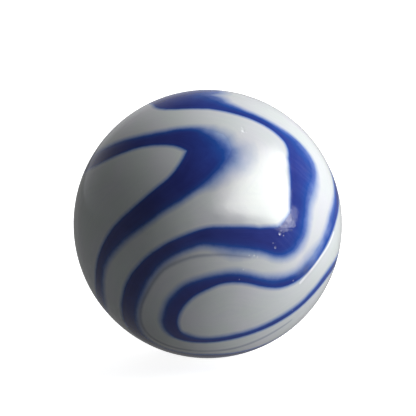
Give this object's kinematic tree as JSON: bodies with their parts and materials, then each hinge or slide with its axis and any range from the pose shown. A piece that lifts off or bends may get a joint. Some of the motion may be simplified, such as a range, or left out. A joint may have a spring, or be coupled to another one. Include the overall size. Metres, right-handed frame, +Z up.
{
  "type": "glass marble",
  "caption": "Solid glass playing marble: an opal ball with bold and faint streaks of coloured glass swirled into its surface.",
  "frame": {"origin": "centre of the ball", "axes": "+Z up as the ball rests in the pictures, -Y towards the side with the hook and the bold ribbon's elbow, +X to that side's right"},
  "size_m": [0.016, 0.016, 0.016],
  "materials": {
    "opal_white": "fire-polished opal glass, milky and opaque",
    "cobalt_blue": "fire-polished cobalt glass, opaque in the core and translucent at the rim",
    "grey_blue": "fire-polished glass, a faint grey-blue trace in the opal"
  },
  "bodies": {
    "root": {"opal_body": "opal_white", "main_ribbon": "cobalt_blue", "hook_ribbon": "cobalt_blue", "spiral_ribbon": "cobalt_blue", "grey_wisp": "grey_blue", "rear_streak": "cobalt_blue", "rear_hook": "cobalt_blue", "side_streak": "cobalt_blue", "base_streak": "cobalt_blue", "shoulder_wisp": "grey_blue"}
  },
  "joints": []
}
